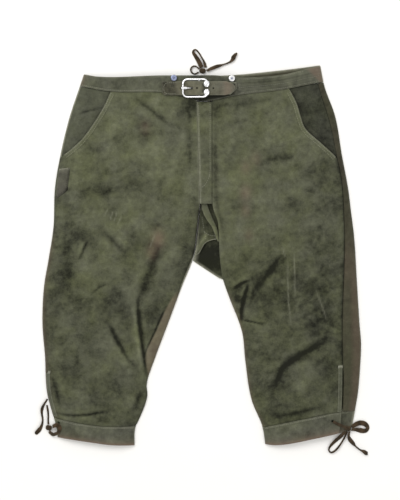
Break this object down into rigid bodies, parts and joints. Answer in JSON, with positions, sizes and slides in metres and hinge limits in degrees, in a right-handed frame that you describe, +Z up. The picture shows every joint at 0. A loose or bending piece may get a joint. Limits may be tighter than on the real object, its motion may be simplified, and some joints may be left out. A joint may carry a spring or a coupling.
{
  "type": "leather knee breeches",
  "caption": "Knee-length suede breeches lying flat, with slant pockets, fly flap, waist strap and buckle, laced knee bands and a side knife pocket.",
  "frame": {"origin": "on the ground under the middle of the garment", "axes": "+Y towards the waist, +Z up out of the garment's front, +X towards the wearer's left"},
  "size_m": [0.6668, 0.8122, 0.028],
  "materials": {
    "suede": "napped suede",
    "band_suede": "napped suede, doubled and stitched",
    "trim_suede": "suede with pale raw edges",
    "facing_suede": "suede, less worn",
    "knife_suede": "brownish suede",
    "pocket_cotton": "plain cotton",
    "zip_fabric": "woven tape",
    "zip_metal": "brushed",
    "buckle_metal": "polished nickel",
    "button_metal": "worn nickel",
    "lace_leather": "dark smooth lace"
  },
  "bodies": {
    "seat": {"right_front_upper": "suede", "left_front_upper": "suede", "crotch_gusset": "facing_suede", "right_back_upper": "suede", "left_back_upper": "suede", "right_front_waistband": "band_suede", "left_front_waistband": "band_suede", "right_back_waistband": "band_suede", "left_back_waistband": "band_suede", "right_pocket_facing": "facing_suede", "left_pocket_facing": "facing_suede", "right_pocket_bag": "pocket_cotton", "left_pocket_bag": "pocket_cotton", "right_pocket_binding": "trim_suede", "left_pocket_binding": "trim_suede", "right_zip_tape": "zip_fabric", "left_zip_tape": "zip_fabric", "right_zip_teeth": "zip_metal", "left_zip_teeth": "zip_metal", "zip_stops": "zip_metal", "fly_shield": "facing_suede", "knife_pocket": "knife_suede", "waist_strap": "trim_suede", "buckle_chape": "trim_suede", "button_tacks": "button_metal", "back_gusset": "facing_suede", "back_eyelets": "button_metal", "back_lacing": "lace_leather", "waist_knot": "lace_leather", "waist_bow_loop_large": "lace_leather", "waist_bow_loop_small": "lace_leather", "waist_bow_tail": "lace_leather"},
    "fly_flap": {"fly_flap": "suede"},
    "zip_slider": {"zip_slider": "zip_metal", "zip_pull": "zip_metal"},
    "buckle_frame": {"buckle_frame": "buckle_metal"},
    "buckle_prong": {"buckle_prong": "buckle_metal"},
    "right_button_cap": {"right_button_cap": "button_metal"},
    "left_button_cap": {"left_button_cap": "button_metal"},
    "right_leg": {"right_front_leg": "suede", "right_back_leg": "suede", "right_knee_band_front": "band_suede", "right_knee_band_back": "band_suede", "right_slit_placket": "trim_suede", "right_knee_knot": "lace_leather", "right_knee_outer_lace": "lace_leather", "right_knee_inner_lace": "lace_leather", "right_knee_loop": "lace_leather"},
    "left_leg": {"left_front_leg": "suede", "left_back_leg": "suede", "left_knee_band_front": "band_suede", "left_knee_band_back": "band_suede", "left_slit_placket": "trim_suede", "left_knee_knot": "lace_leather", "left_knee_loop": "lace_leather", "left_knee_tail": "lace_leather", "left_knee_side_loop": "lace_leather"}
  },
  "joints": [
    {"name": "right_leg_fold", "type": "hinge", "parent": "seat", "child": "right_leg", "pos_m": [-0.17, -0.046, 0.027], "axis": [-1, 0, 0], "range_deg": [0, 175]},
    {"name": "left_leg_fold", "type": "hinge", "parent": "seat", "child": "left_leg", "pos_m": [0.17, -0.046, 0.027], "axis": [-1, 0, 0], "range_deg": [0, 175]},
    {"name": "fly_flap_fold", "type": "hinge", "parent": "seat", "child": "fly_flap", "pos_m": [0.02085, 0.2, 0.01988], "axis": [0, 0.9994, -0.0337], "range_deg": [0, 150]},
    {"name": "zip_slide", "type": "slide", "parent": "seat", "child": "zip_slider", "axis": [0, -0.9994, 0.0337], "range_m": [0, 0.155]},
    {"name": "buckle_rock", "type": "hinge", "parent": "seat", "child": "buckle_frame", "pos_m": [-0.005, 0.336, 0.0192], "axis": [0, 1, 0], "range_deg": [0, 2.5]},
    {"name": "prong_lift", "type": "hinge", "parent": "buckle_frame", "child": "buckle_prong", "pos_m": [-0.005, 0.336, 0.0192], "axis": [0, 1, 0], "range_deg": [0, 3]},
    {"name": "right_button_turn", "type": "hinge", "parent": "seat", "child": "right_button_cap", "pos_m": [-0.055, 0.3566, 0.018], "axis": [0, 0, 1], "continuous": true},
    {"name": "left_button_turn", "type": "hinge", "parent": "seat", "child": "left_button_cap", "pos_m": [0.0605, 0.3556, 0.018], "axis": [0, 0, 1], "continuous": true}
  ]
}
